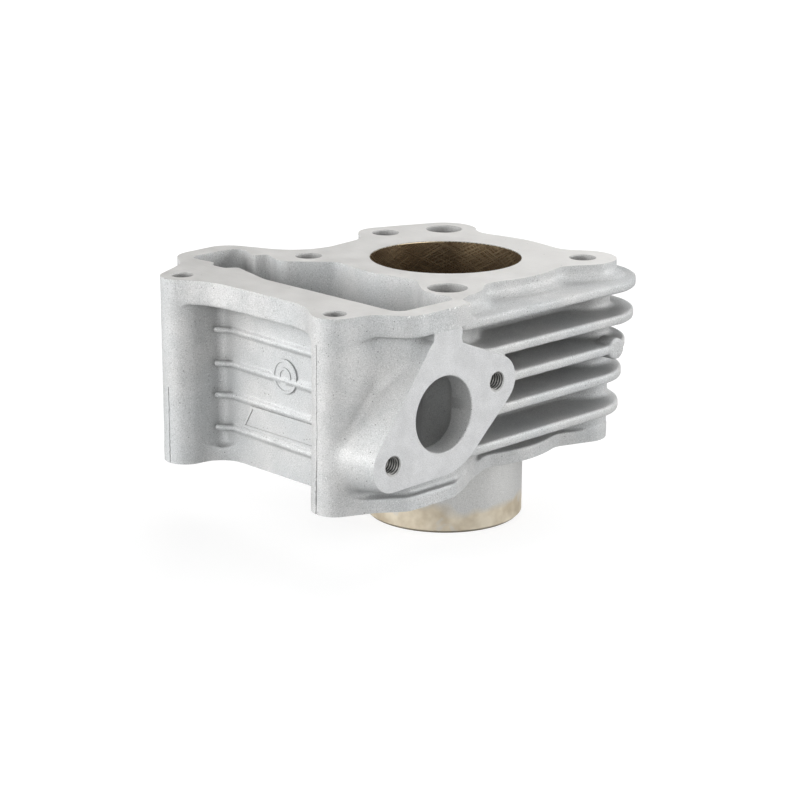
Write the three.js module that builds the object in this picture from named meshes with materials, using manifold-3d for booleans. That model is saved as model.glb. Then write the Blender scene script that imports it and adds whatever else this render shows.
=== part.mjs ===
// Cylinder barrel of a small air-cooled four-stroke engine: one aluminium casting and its plated bore.
// Units are millimetres. The bore axis is x = y = 0 and z = 0 is the crankcase gasket face while the
// part is built; the chain tunnel lies towards -X, the tensioner flange faces -Y and +Z points to the
// cylinder head. The finished group is then moved so that its origin is the bottom centre of its box.
import * as THREE from "three";
import { mergeVertices } from "three/addons/utils/BufferGeometryUtils.js";
import Module from "manifold-3d";

const wasm = await Module();
wasm.setup();

// ---------------------------------------------------------------- driving dimensions

const BORE_RADIUS = 25;
const PLATING_THICKNESS = 0.15;
const PLATING_CLEARANCE = 0.05;
const CAST_BORE_RADIUS = BORE_RADIUS + PLATING_THICKNESS + PLATING_CLEARANCE;
const BORE_CHAMFER = 0.6;
const SPIGOT_RADIUS = 26.7;
const SPIGOT_LENGTH = 26.5;
const PLATING_END_STEP = 0.3;

const DECK_HEIGHT = 61;
const DECK_THICKNESS = 5.2;
const DECK_UNDERSIDE = DECK_HEIGHT - DECK_THICKNESS;
const TUNNEL_RIM_UNDERSIDE = DECK_HEIGHT - 8;
const BASE_THICKNESS = 4.5;

const STUD_OFFSET = 32;
const STUD_HOLE_RADIUS = 4.15;
const DOWEL_HOLE_RADIUS = 6;
const DOWEL_HOLE_DEPTH = 7;
const STUD_BOSS_RADIUS = 9.4;
const BARREL_CUT_RADIUS = 34.6;
const TUNNEL_SIDE_WALL_RADIUS = 34.1;
const DECK_BULGE_RADIUS = 39.3;

const DRAIN = { x: 12.6, y: 41.5, holeRadius: 4.4 };
const CASE_BOLT_HOLE_RADIUS = 3.3;
const FRONT_CASE_BOLT = { x: -80.25, y: -32.5 };
const REAR_CASE_BOLT = { x: -80.25, y: 38.6 };

const TUNNEL_WALL_X = -70.7;
const PANEL_RIB = { depth: 1, height: 2, yFrom: -22, yTo: 30, levels: [43.1, 32, 21.6, 10.6] };
const BLANK_PLATE = { depth: 0.6, yFrom: -22, yTo: 20.5, zFrom: 11.6, zTo: 21.6 };
const BLANK_DISC = { depth: 0.8, radius: 5.6, y: 0.4, z: 33.5 };

const WALL_FRONT_Y = -47;
const FIN_FRONT_Y = -51.2;
const FIN_BACK_Y = 50.5;
const FIN_CORNER_RADIUS = 22;
const FIN_THICKNESS = 3.3;
const FIN_UNDERSIDES = [52.5, 41.9, 32.6, 23, 11.8];
const FIN_SIDE_X = [50.8, 50, 46, 44.6, 43.5];

const FLANGE_FACE_Y = -51.5;
const FLANGE_BACK_Y = -38;
const FLANGE_EAR_RADIUS = 8.3;
const FLANGE_LOW_BOLT = { x: -74.5, z: 16.8 };
const FLANGE_HIGH_BOLT = { x: -29.7, z: 34.3 };
const FLANGE_BOLT_RADIUS = 2.9;
const FLANGE_BOLT_DEPTH = 11;
const PORT = { x: -52.9, z: 28.4, radius: 12, rim: 19.5 };
const FLANGE_TIE = { xFrom: -57.6, xTo: -45.3 };

const GATE_BOSS = { fin: 2, x: 27.8, frontY: -51.5, backY: -44, radius: 3.5 };

// Where the casting is divided into its sections.
const TUNNEL_SPLIT_X = -44.5;
const REAR_SPLIT_Y = 46;
const REAR_SPLIT_X = -20;
const DRAIN_SPLIT_X = 22;
const FRONT_WALL_SPLIT = { xFrom: -70, xTo: -36, y: -38 };
const OUTER_WALL_SPLIT_X = -60;
const COLUMN_SPLIT_Y = { front: -15, rear: 21 };

// How finely round shapes are faceted, how far a cut runs past a face, how deep relief is rooted in
// the wall it stands on, and a distance that is beyond the whole part.
const ARC_STEP = THREE.MathUtils.degToRad(18);
const ROUND_SIDES = 16;
const PORT_SIDES = 32;
const BORE_SIDES = 48;
const MARGIN = 2;
const ROOT_DEPTH = 1;
const FAR = 120;

// ---------------------------------------------------------------- outlines

// A closed outline as a belt laid anticlockwise round discs [x, y, radius]. A positive radius is an
// outside corner or lobe, and a negative one is a hollow or fillet that the belt passes on its far side.
function belt(discs) {
  const count = discs.length;
  const normals = discs.map(([x, y, r], i) => {
    const [nextX, nextY, nextR] = discs[(i + 1) % count];
    const along = new THREE.Vector2(nextX - x, nextY - y);
    const slope = (r - nextR) / along.length();
    along.normalize();
    const side = Math.sqrt(1 - slope * slope);
    return Math.atan2(slope * along.y - side * along.x, slope * along.x + side * along.y);
  });
  return discs.flatMap(([x, y, r], i) => {
    const start = normals[(i + count - 1) % count];
    const full = 2 * Math.PI;
    const ahead = (((normals[i] - start) % full) + full) % full;
    const turn = r > 0 ? ahead : ahead - full;
    const steps = Math.max(1, Math.ceil(Math.abs(turn) / ARC_STEP));
    return Array.from({ length: steps + 1 }, (_, k) => {
      const angle = start + (turn * k) / steps;
      return new THREE.Vector2(x + r * Math.cos(angle), y + r * Math.sin(angle));
    });
  });
}

// A circle as a closed outline.
function circle(x, y, radius, sides = ROUND_SIDES) {
  return Array.from({ length: sides }, (_, k) => {
    const angle = (2 * Math.PI * k) / sides;
    return new THREE.Vector2(x + radius * Math.cos(angle), y + radius * Math.sin(angle));
  });
}

// The bore side of a gasket flange, whose lobes round the two outer studs have the given radius.
function boreSide(lobe) {
  return [
    [-17, -44.5, -8],
    [0, 0, DECK_BULGE_RADIUS],
    [15.5, -45, -8.2],
    [STUD_OFFSET, -STUD_OFFSET, lobe],
    [45.5, -17, -8.5],
    [0, 0, DECK_BULGE_RADIUS],
    [45.5, 17.5, -8.5],
    [STUD_OFFSET, STUD_OFFSET, lobe],
    [DRAIN.x, DRAIN.y, 9.5],
    [-6, 49.7, -10.3],
    [-17, 56.5, -18.5],
  ];
}

const REAR_OF_TUNNEL = [
  [-46.5, 56, 9],
  [-56.5, 53.5, 10.8],
  [-78, 60, -11],
];

const DECK_OUTLINE = belt([
  [REAR_CASE_BOLT.x, REAR_CASE_BOLT.y, 7],
  [-104.5, 17, -25],
  [-104.5, -11, -25],
  [FRONT_CASE_BOLT.x, FRONT_CASE_BOLT.y, 7.1],
  [-77.6, -47.8, -7.5],
  [-61.5, -43.5, 8],
  [-41.8, FIN_FRONT_Y + 0.8, 0.8],
  [-37.6, -46.6, -2.2],
  [-STUD_OFFSET, -STUD_OFFSET, 11],
  ...boreSide(11.3),
  ...REAR_OF_TUNNEL,
]);

// The chain side below the deck, with the given radii in the rear corner and round the front case bolt.
function leftSide(cornerRadius, cornerY, frontRadius) {
  return [
    [REAR_CASE_BOLT.x, REAR_CASE_BOLT.y, 7.2],
    [TUNNEL_WALL_X - cornerRadius, cornerY, -cornerRadius],
    [TUNNEL_WALL_X - 4, -18, -4],
    [FRONT_CASE_BOLT.x, FRONT_CASE_BOLT.y, frontRadius],
  ];
}

// The sharp corner beside the front left stud, the nick behind it and the stud's own boss.
const FRONT_CORNER = [
  [-34.1, -42.2, 1.3],
  [-29.6, -42.6, -1.4],
  [-STUD_OFFSET, -STUD_OFFSET, 9.4],
];

const BASE_OUTLINE = belt([
  ...leftSide(9.2, 22, 7.6),
  [-77.6, -49.6, -7.1],
  [-63.5, -43, 6.5],
  [-47, -45.9, 3.6],
  [-41.5, -42.9, 4.2],
  ...FRONT_CORNER,
  ...boreSide(9.6),
  ...REAR_OF_TUNNEL,
]);

// The barrel, its stud bosses and the tunnel walls, between the base and the deck.
const BODY_OUTLINE = belt([
  ...leftSide(2.5, 28.4, 7.05),
  [-73.2, -44.2, -3.8],
  [-61.3, WALL_FRONT_Y + 6.7, 6.7],
  [-43.8, WALL_FRONT_Y + 6.2, 6.2],
  ...FRONT_CORNER,
  [-16.5, -41, -7.5],
  [16.5, -41, -7.5],
  [STUD_OFFSET, -STUD_OFFSET, STUD_BOSS_RADIUS],
  [41, -16.5, -7.5],
  [41, 16.5, -7.5],
  [STUD_OFFSET, STUD_OFFSET, STUD_BOSS_RADIUS],
  [DRAIN.x, DRAIN.y, 6.8],
  [-7, 48.5, -11.5],
  [-17.5, 56, -19],
  ...REAR_OF_TUNNEL,
]);

// The chain tunnel, with the grooves near its rear end that hold the chain guides.
const TUNNEL_OUTLINE = belt([
  [-61.3, -40.2, 4],
  [-43.8, -40.7, 3.5],
  [-STUD_OFFSET, -STUD_OFFSET, -8.2],
  [-36.2, -16.5, 4.5],
  [0, 0, -TUNNEL_SIDE_WALL_RADIUS],
  [-36.5, 17, 4.6],
  [-38.5, 33.5, -5.4],
  [-42.6, 41.9, 1.6],
  [-43, 45.6, -1.4],
  [-45.5, 53.8, 3.9],
  [-58.3, 54.2, 3.5],
  [-62.4, 46.2, -1.3],
  [-62.5, 42.4, 1.5],
  [-62.5, 37.9, 1.5],
  [-62.4, 33.9, -1.9],
  [-55.2, 15, 10],
]);

// Seen from the flange's own side: x across and z up.
const FLANGE_OUTLINE = belt([
  [FLANGE_LOW_BOLT.x, FLANGE_LOW_BOLT.z, FLANGE_EAR_RADIUS],
  [PORT.x, PORT.z, PORT.rim],
  [FLANGE_HIGH_BOLT.x, FLANGE_HIGH_BOLT.z, FLANGE_EAR_RADIUS],
  [-54.4, 47, 5.9],
]);

// One fin's outer edge. Its inner side runs inside the barrel, where the body is cut out of it.
function finOutline(sideX) {
  return belt([
    [-41, FIN_FRONT_Y + 3, 3],
    [sideX - FIN_CORNER_RADIUS, FIN_FRONT_Y + FIN_CORNER_RADIUS, FIN_CORNER_RADIUS],
    [sideX - FIN_CORNER_RADIUS, FIN_BACK_Y - FIN_CORNER_RADIUS, FIN_CORNER_RADIUS],
    [-30, FIN_BACK_Y - 4, 4],
    [-33, -31, -1],
  ]);
}

const studHoles = [-1, 1].flatMap((sx) => [-1, 1].map((sy) => [sx * STUD_OFFSET, sy * STUD_OFFSET]));
const caseBolts = [FRONT_CASE_BOLT, REAR_CASE_BOLT];

// ---------------------------------------------------------------- solids

// A closed geometry as a solid that can be joined and cut.
function solid(geometry) {
  geometry.deleteAttribute("normal");
  geometry.deleteAttribute("uv");
  const merged = mergeVertices(geometry);
  return new wasm.Manifold(
    new wasm.Mesh({
      numProp: 3,
      vertProperties: new Float32Array(merged.attributes.position.array),
      triVerts: new Uint32Array(merged.index.array),
    }),
  );
}

// An upright slab of an outline between two heights.
function slab(outline, zFrom, zTo) {
  const shape = new THREE.Shape(outline);
  const geometry = new THREE.ExtrudeGeometry(shape, { depth: zTo - zFrom, bevelEnabled: false });
  return solid(geometry.translate(0, 0, zFrom));
}

// A slab whose outline lies in the x, z plane, between two values of y.
function crossSlab(outline, yFrom, yTo) {
  const shape = new THREE.Shape(outline);
  const geometry = new THREE.ExtrudeGeometry(shape, { depth: yTo - yFrom, bevelEnabled: false });
  return solid(geometry.rotateX(Math.PI / 2).translate(0, yTo, 0));
}

function box(xFrom, xTo, yFrom, yTo, zFrom, zTo) {
  const geometry = new THREE.BoxGeometry(xTo - xFrom, yTo - yFrom, zTo - zFrom);
  return solid(geometry.translate((xFrom + xTo) / 2, (yFrom + yTo) / 2, (zFrom + zTo) / 2));
}

function joined(solids) {
  return solids.reduce((a, b) => a.add(b));
}

const castings = new THREE.Group();

// Adds a solid to the group as a named mesh.
function place(name, body, look) {
  const { numProp, vertProperties, triVerts } = body.getMesh();
  const positions = new Float32Array(vertProperties);
  const geometry = new THREE.BufferGeometry()
    .setAttribute("position", new THREE.BufferAttribute(positions, numProp))
    .setIndex(new THREE.BufferAttribute(new Uint32Array(triVerts), 1));
  geometry.computeVertexNormals();
  const mesh = new THREE.Mesh(geometry, look());
  mesh.name = name;
  castings.add(mesh);
}

// ---------------------------------------------------------------- materials

function blastedAluminium() {
  return new THREE.MeshStandardMaterial({ color: 0xc9cbcb, roughness: 0.75, metalness: 0.55 });
}

function machinedAluminium() {
  return new THREE.MeshStandardMaterial({ color: 0xd3d1cd, roughness: 0.5, metalness: 0.7 });
}

function bronzePlating() {
  return new THREE.MeshStandardMaterial({ color: 0x6b5638, roughness: 0.3, metalness: 0.85 });
}

// ---------------------------------------------------------------- passages cut through the casting

function borePassage() {
  return slab(circle(0, 0, CAST_BORE_RADIUS, BORE_SIDES), -SPIGOT_LENGTH - MARGIN, DECK_HEIGHT + MARGIN);
}

function boreChamfer() {
  const top = DECK_HEIGHT + MARGIN;
  const foot = DECK_HEIGHT - BORE_CHAMFER;
  const profile = [
    new THREE.Vector2(0, foot),
    new THREE.Vector2(CAST_BORE_RADIUS, foot),
    new THREE.Vector2(CAST_BORE_RADIUS + MARGIN + BORE_CHAMFER, top),
    new THREE.Vector2(0, top),
  ];
  return solid(new THREE.LatheGeometry(profile, BORE_SIDES).rotateX(Math.PI / 2));
}

function boltPassages() {
  const bolt = (x, y, radius) => slab(circle(x, y, radius), -MARGIN, DECK_HEIGHT + MARGIN);
  const studs = studHoles.map(([x, y]) => bolt(x, y, STUD_HOLE_RADIUS));
  const cases = caseBolts.map(({ x, y }) => bolt(x, y, CASE_BOLT_HOLE_RADIUS));
  return joined([...studs, ...cases, bolt(DRAIN.x, DRAIN.y, DRAIN.holeRadius)]);
}

function dowelPockets() {
  const pocketFloor = DECK_HEIGHT - DOWEL_HOLE_DEPTH;
  const pocket = (x, y) => slab(circle(x, y, DOWEL_HOLE_RADIUS), pocketFloor, DECK_HEIGHT + MARGIN);
  return pocket(-STUD_OFFSET, -STUD_OFFSET).add(pocket(STUD_OFFSET, STUD_OFFSET));
}

function tensionerPort() {
  return crossSlab(circle(PORT.x, PORT.z, PORT.radius, PORT_SIDES), FLANGE_FACE_Y - MARGIN, FLANGE_BACK_Y);
}

function tensionerThreads() {
  const thread = ({ x, z }) =>
    crossSlab(circle(x, z, FLANGE_BOLT_RADIUS), FLANGE_FACE_Y - MARGIN, FLANGE_FACE_Y + FLANGE_BOLT_DEPTH);
  return thread(FLANGE_LOW_BOLT).add(thread(FLANGE_HIGH_BOLT));
}

const passages = joined([
  borePassage(),
  boreChamfer(),
  boltPassages(),
  dowelPockets(),
  slab(TUNNEL_OUTLINE, -MARGIN, DECK_HEIGHT + MARGIN),
  tensionerPort(),
  tensionerThreads(),
]);

// ---------------------------------------------------------------- gasket flanges and spigot

function headGasketFlange() {
  const plate = slab(DECK_OUTLINE, DECK_UNDERSIDE, DECK_HEIGHT);
  const rim = slab(DECK_OUTLINE, TUNNEL_RIM_UNDERSIDE, DECK_UNDERSIDE);
  const tunnelSide = box(-FAR, TUNNEL_SPLIT_X, -FAR, FAR, -FAR, FAR);
  return plate.add(rim.intersect(tunnelSide)).subtract(passages);
}

// The spigot runs up through the crankcase flange, so that the gasket face lies all round it.
const spigotBlank = slab(circle(0, 0, SPIGOT_RADIUS, BORE_SIDES), -SPIGOT_LENGTH, BASE_THICKNESS);

function crankcaseGasketFlange() {
  return slab(BASE_OUTLINE, 0, BASE_THICKNESS).subtract(spigotBlank).subtract(passages);
}

function spigot() {
  return spigotBlank.subtract(passages);
}

function borePlating() {
  const outer = circle(0, 0, BORE_RADIUS + PLATING_THICKNESS, BORE_SIDES);
  const inner = circle(0, 0, BORE_RADIUS, BORE_SIDES);
  const foot = PLATING_END_STEP - SPIGOT_LENGTH;
  return slab(outer, foot, DECK_HEIGHT - BORE_CHAMFER).subtract(
    slab(inner, -SPIGOT_LENGTH - MARGIN, DECK_HEIGHT + MARGIN),
  );
}

// ---------------------------------------------------------------- walls between the flanges

const tunnelBody = slab(BODY_OUTLINE, BASE_THICKNESS, TUNNEL_RIM_UNDERSIDE);
const barrelBody = slab(BODY_OUTLINE, BASE_THICKNESS, DECK_UNDERSIDE);
const { xFrom: wallFrom, xTo: wallTo, y: wallBack } = FRONT_WALL_SPLIT;
const frontWallSpan = box(wallFrom, wallTo, -FAR, wallBack, -FAR, FAR);
const barrelSide = box(TUNNEL_SPLIT_X, FAR, -FAR, FAR, -FAR, FAR)
  .subtract(box(-FAR, REAR_SPLIT_X, REAR_SPLIT_Y, FAR, -FAR, FAR))
  .subtract(frontWallSpan);
const barrelDisc = slab(circle(0, 0, BARREL_CUT_RADIUS, BORE_SIDES), -FAR, FAR);

function barrel() {
  return barrelBody.intersect(barrelDisc).subtract(passages);
}

// The part of the body outside the barrel proper, in one corner of the plan.
function studColumn(xFrom, xTo, yFrom, yTo) {
  const corner = box(xFrom, xTo, yFrom, yTo, -FAR, FAR);
  return barrelBody.intersect(barrelSide).intersect(corner).subtract(barrelDisc).subtract(passages);
}

function tunnelSection(xFrom, xTo, yFrom, yTo) {
  return tunnelBody.intersect(box(xFrom, xTo, yFrom, yTo, -FAR, FAR)).subtract(passages);
}

function tunnelFrontWall() {
  return tunnelBody.intersect(frontWallSpan).subtract(passages);
}

function rearCaseBoltColumn() {
  return tunnelSection(-FAR, OUTER_WALL_SPLIT_X, COLUMN_SPLIT_Y.rear, REAR_SPLIT_Y);
}

function frontCaseBoltColumn() {
  return tunnelSection(-FAR, OUTER_WALL_SPLIT_X, -FAR, COLUMN_SPLIT_Y.front).subtract(frontWallSpan);
}

// A block that stands proud of the tunnel's outer wall.
function raised(depth, yFrom, yTo, zFrom, zTo) {
  return box(TUNNEL_WALL_X - depth, TUNNEL_WALL_X + ROOT_DEPTH, yFrom, yTo, zFrom, zTo);
}

function blankDisc() {
  const { depth, radius, y, z } = BLANK_DISC;
  const thickness = depth + ROOT_DEPTH;
  const geometry = new THREE.CylinderGeometry(radius, radius, thickness, ROUND_SIDES);
  return solid(geometry.rotateZ(Math.PI / 2).translate(TUNNEL_WALL_X - depth + thickness / 2, y, z));
}

// The recessed outer wall of the tunnel, with its four ribs and the two blank raised pads.
function tunnelOuterWall() {
  const { yFrom, yTo, depth, height, levels } = PANEL_RIB;
  const ribs = levels.map((z) => raised(depth, yFrom, yTo, z - height / 2, z + height / 2));
  const { depth: plateDepth, yFrom: plateFrom, yTo: plateTo, zFrom, zTo } = BLANK_PLATE;
  const plate = raised(plateDepth, plateFrom, plateTo, zFrom, zTo);
  const relief = joined([...ribs, plate, blankDisc()]);
  const { front, rear } = COLUMN_SPLIT_Y;
  const span = box(-FAR, OUTER_WALL_SPLIT_X, front, rear, -FAR, FAR);
  return tunnelBody.add(relief).intersect(span).subtract(passages);
}

// ---------------------------------------------------------------- tensioner flange and fins

// The flange's face runs on upwards to the deck, as far across as the tie reaches.
const flangeTie = box(
  FLANGE_TIE.xFrom,
  FLANGE_TIE.xTo,
  FLANGE_FACE_Y,
  FLANGE_BACK_Y,
  PORT.z,
  TUNNEL_RIM_UNDERSIDE,
);
const flangeBlank = crossSlab(FLANGE_OUTLINE, FLANGE_FACE_Y, FLANGE_BACK_Y)
  .add(flangeTie)
  .subtract(barrelBody);

function tensionerFlange() {
  return flangeBlank.subtract(passages);
}

function fin(index) {
  const underside = FIN_UNDERSIDES[index];
  const plate = slab(finOutline(FIN_SIDE_X[index]), underside, underside + FIN_THICKNESS);
  return plate.subtract(barrelBody).subtract(flangeBlank);
}

// The short round boss on the edge of the third fin.
function gateBoss() {
  const z = FIN_UNDERSIDES[GATE_BOSS.fin] + FIN_THICKNESS / 2;
  return crossSlab(circle(GATE_BOSS.x, z, GATE_BOSS.radius), GATE_BOSS.frontY, GATE_BOSS.backY);
}

// ---------------------------------------------------------------- assembly

place("head_gasket_flange", headGasketFlange(), machinedAluminium);
place("crankcase_gasket_flange", crankcaseGasketFlange(), machinedAluminium);
place("spigot", spigot(), blastedAluminium);
place("bore_plating", borePlating(), bronzePlating);
place("barrel", barrel(), blastedAluminium);

place("stud_column_front_left", studColumn(-FAR, 0, -FAR, 0), blastedAluminium);
place("stud_column_front_right", studColumn(0, FAR, -FAR, 0), blastedAluminium);
place("stud_column_rear_right", studColumn(DRAIN_SPLIT_X, FAR, 0, FAR), blastedAluminium);
place("oil_return_column", studColumn(0, DRAIN_SPLIT_X, 0, FAR), blastedAluminium);
place("stud_column_rear_left", studColumn(-FAR, 0, 0, FAR), blastedAluminium);

place("front_case_bolt_column", frontCaseBoltColumn(), blastedAluminium);
place("rear_case_bolt_column", rearCaseBoltColumn(), blastedAluminium);
place("tunnel_outer_wall", tunnelOuterWall(), blastedAluminium);
place("tunnel_front_wall", tunnelFrontWall(), blastedAluminium);
place("tunnel_rear_wall", tunnelSection(-FAR, REAR_SPLIT_X, REAR_SPLIT_Y, FAR), blastedAluminium);

place("tensioner_flange", tensionerFlange(), machinedAluminium);
FIN_SIDE_X.forEach((_, index) => {
  const plate = index === GATE_BOSS.fin ? fin(index).add(gateBoss()) : fin(index);
  place(`cooling_fin_${index + 1}`, plate, blastedAluminium);
});

const extent = new THREE.Box3().setFromObject(castings);
const centre = extent.getCenter(new THREE.Vector3());
castings.position.set(-centre.x, -centre.y, -extent.min.z);

export default castings;
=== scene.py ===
"""Looks of a small air-cooled engine's cylinder barrel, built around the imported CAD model.

The casting is sculpted as one distance field, with cast fillets and rounded edges, and turned into a
mesh. The machined faces, holes and threads are then cut into it with crisp edges. Lengths are in
millimetres from the bore axis and the crankcase gasket face, and go into metres in the row frame at
the end, at the place that the frame gives. -X is the cam chain side and -Y the tensioner side.
"""

import math

import bmesh
import bpy
import numpy as np
import openvdb
from mathutils import Matrix, Vector


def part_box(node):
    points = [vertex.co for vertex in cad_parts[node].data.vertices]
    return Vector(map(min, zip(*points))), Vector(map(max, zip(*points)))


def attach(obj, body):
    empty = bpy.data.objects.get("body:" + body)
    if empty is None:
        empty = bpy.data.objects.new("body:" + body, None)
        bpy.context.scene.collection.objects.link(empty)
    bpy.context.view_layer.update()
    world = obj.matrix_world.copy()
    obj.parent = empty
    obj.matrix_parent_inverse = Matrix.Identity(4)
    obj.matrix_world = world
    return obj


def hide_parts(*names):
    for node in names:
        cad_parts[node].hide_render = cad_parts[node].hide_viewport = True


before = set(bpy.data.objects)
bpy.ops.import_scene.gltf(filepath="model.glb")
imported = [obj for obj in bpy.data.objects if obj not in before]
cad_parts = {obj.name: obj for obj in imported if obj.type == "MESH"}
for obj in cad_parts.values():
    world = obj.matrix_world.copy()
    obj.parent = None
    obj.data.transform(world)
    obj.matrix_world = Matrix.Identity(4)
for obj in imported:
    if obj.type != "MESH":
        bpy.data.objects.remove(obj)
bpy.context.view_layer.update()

# ---------------------------------------------------------------- places, from the frame

MM = 0.001
spigot_low, spigot_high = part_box("spigot")
base_low, base_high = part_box("crankcase_gasket_flange")
deck_low, deck_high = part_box("head_gasket_flange")
flange_low, flange_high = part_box("tensioner_flange")
plating_low, plating_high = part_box("bore_plating")
ORIGIN = Vector(((spigot_low.x + spigot_high.x) / 2, (spigot_low.y + spigot_high.y) / 2, base_low.z))

DECK_Z = (deck_high.z - ORIGIN.z) / MM
DECK_LOW = (deck_low.z - ORIGIN.z) / MM
BASE_TOP = (base_high.z - ORIGIN.z) / MM
SPIGOT_FOOT = (spigot_low.z - ORIGIN.z) / MM
SPIGOT_RADIUS = (spigot_high.x - spigot_low.x) / MM / 2
PLATING_OUTER = (plating_high.x - plating_low.x) / MM / 2
FLANGE_FACE = (flange_low.y - ORIGIN.y) / MM
FIN_LEVELS = []
FIN_SIDES = []
for index in range(1, 6):
    fin_low, fin_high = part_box(f"cooling_fin_{index}")
    FIN_SIDES.append((fin_high.x - ORIGIN.x) / MM)
    FIN_LEVELS.append(((fin_low.z + fin_high.z) / 2 - ORIGIN.z) / MM)
FIN_HALF = (fin_high.z - fin_low.z) / MM / 2

# ---------------------------------------------------------------- driving dimensions, in millimetres

BORE_RADIUS = 25.0
STUD = 32.0
STUD_HOLE = 4.15
DOWEL_HOLE = 6.0
DOWEL_DEPTH = 7.0
DRAIN = (12.6, 41.5)
DRAIN_HOLE = 4.4
CASE_BOLTS = ((-80.25, -32.5), (-80.25, 38.6))
CASE_HOLE = 3.3
WALL_X = -70.7
WALL_FRONT = -47.0
FIN_FRONT = -51.2
FIN_BACK = 50.5
FIN_CORNER = 22.0
LOW_BOLT = (-74.5, 16.8)
HIGH_BOLT = (-29.7, 34.3)
BOLT_DEPTH = 11.0
BOLT_CHAMFER = 0.75
CHAMFER = 0.35
PORT = (-52.9, 28.4)
PORT_RADIUS = 12.0
PORT_DEPTH = 11.0
PORT_CHAMFER = 0.25
PORT_RIM = 19.5
EAR = 8.3
THREAD_MAJOR = 3.05
THREAD_MINOR = 2.5
THREAD_PITCH = 1.0
TIE = (-57.6, -45.3)
TIE_HEIGHT = (46, 54.2)
GATE = (27.8, FIN_LEVELS[2])
GATE_RADIUS = 3.65
PANEL_RIBS = ((43.5, 42.8), (32.4, 31.6), (21.9, 21.3), (11.0, 10.3))
PLATE_RELIEF = 0.6
BORDER = 0.3
BORDER_WIDTH = 0.9

# Cutters and the stock on machined faces reach this far past the faces.
PAST = 3.0
# The skin lies this far inside the CAD's faces, and waves and ripples by this much.
SKIN, WAVE, RIPPLE = 0.06, 0.04, 0.02

# The distance field's grid, and how many triangles its surface keeps.
CELL = 0.45
TRIANGLES = 190000
GRID_LOW = np.array([-91.0, -55.0, -2.7])
GRID_HIGH = np.array([57.0, 68.0, 63.9])

# ---------------------------------------------------------------- outlines


def belt(discs):
    """A closed belt laid anticlockwise round discs (x, y, radius). A negative radius is a hollow."""
    count = len(discs)
    step = math.radians(5)
    normals = []
    for i, (x, y, r) in enumerate(discs):
        nx, ny, nr = discs[(i + 1) % count]
        dx, dy = nx - x, ny - y
        length = math.hypot(dx, dy)
        slope = (r - nr) / length
        side = math.sqrt(1 - slope * slope)
        dx, dy = dx / length, dy / length
        normals.append(math.atan2(slope * dy - side * dx, slope * dx + side * dy))
    points = []
    for i, (x, y, r) in enumerate(discs):
        start = normals[i - 1]
        ahead = (normals[i] - start) % (2 * math.pi)
        turn = ahead if r > 0 else ahead - 2 * math.pi
        steps = max(1, math.ceil(abs(turn) / step))
        for k in range(steps + 1):
            angle = start + turn * k / steps
            points.append((x + r * math.cos(angle), y + r * math.sin(angle)))
    return points


def bore_side(lobe):
    """The bore side of a gasket flange, with lobes of a given radius round the two outer studs."""
    return [
        (-17, -44.5, -8), (0, 0, 39.3), (15.5, -45, -8.2), (STUD, -STUD, lobe), (45.5, -17, -8.5),
        (0, 0, 39.3), (45.5, 17.5, -8.5), (STUD, STUD, lobe), (*DRAIN, 9.5), (-6, 49.7, -10.3),
        (-17, 56.5, -18.5),
    ]


FRONT_CORNER = [(-34.1, -42.2, 1.3), (-29.6, -42.6, -1.4), (-STUD, -STUD, 9.4)]
TUNNEL_REAR = [(-46.5, 56, 9), (-56.5, 53.5, 10.8), (-78, 60, -11)]
DECK_OUTLINE = belt([
    (*CASE_BOLTS[1], 7), (-104.5, 17, -25), (-104.5, -11, -25), (*CASE_BOLTS[0], 7.1),
    (-77.6, -47.8, -7.5), (-61.5, -43.5, 8), (-41.8, FIN_FRONT + 0.8, 0.8), (-37.6, -46.6, -2.2),
    (-STUD, -STUD, 11), *bore_side(11.3), *TUNNEL_REAR,
])
BASE_OUTLINE = belt([
    (*CASE_BOLTS[1], 7.2), (WALL_X - 9.2, 22, -9.2), (WALL_X - 4, -18, -4), (*CASE_BOLTS[0], 7.5),
    (-77.6, -49.6, -7.1), (-63.5, -43, 6.5), (-47, -45.9, 3.6), (-41.5, -42.9, 4.2), *FRONT_CORNER,
    *bore_side(9.6), *TUNNEL_REAR,
])
BODY_OUTLINE = belt([
    (*CASE_BOLTS[1], 7.1), (WALL_X - 2.5, 28.4, -2.5), (WALL_X - 4, -18, -4), (*CASE_BOLTS[0], 7.05),
    (-73.2, -44.2, -3.8), (-61.3, WALL_FRONT + 6.7, 6.7), (-43.8, WALL_FRONT + 6.2, 6.2),
    *FRONT_CORNER, (-16.5, -41, -7.5), (16.5, -41, -7.5), (STUD, -STUD, 9.4),
    (41, -16.5, -7.5), (41, 16.5, -7.5), (STUD, STUD, 9.4), (*DRAIN, 6.8),
    (-7, 48.5, -11.5), (-17.5, 56, -19), *TUNNEL_REAR,
])
TUNNEL_OUTLINE = belt([
    (-61.3, -40.2, 4), (-43.8, -40.7, 3.5), (-STUD, -STUD, -8.2), (-36.2, -16.5, 4.5),
    (0, 0, -34.1), (-36.5, 17, 4.6), (-38.5, 33.5, -5.4), (-42.6, 41.9, 1.6), (-43, 45.6, -1.4),
    (-45.5, 53.8, 3.9), (-58.3, 54.2, 3.5), (-62.4, 46.2, -1.3), (-62.5, 42.4, 1.5),
    (-62.5, 37.9, 1.5), (-62.4, 33.9, -1.9), (-55.2, 15, 10),
])
FLANGE_OUTLINE = belt([(*LOW_BOLT, EAR), (*PORT, PORT_RIM), (*HIGH_BOLT, EAR), (-54.4, 47, 5.9)])


def fin_outline(side):
    """The outer edge of a fin that reaches out to x = side."""
    return belt([
        (-43, FIN_FRONT + 4, 4), (side - FIN_CORNER, FIN_FRONT + FIN_CORNER, FIN_CORNER),
        (side - FIN_CORNER, FIN_BACK - FIN_CORNER, FIN_CORNER), (-30, FIN_BACK - 4, 4), (-33, -31, -1),
    ])


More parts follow.
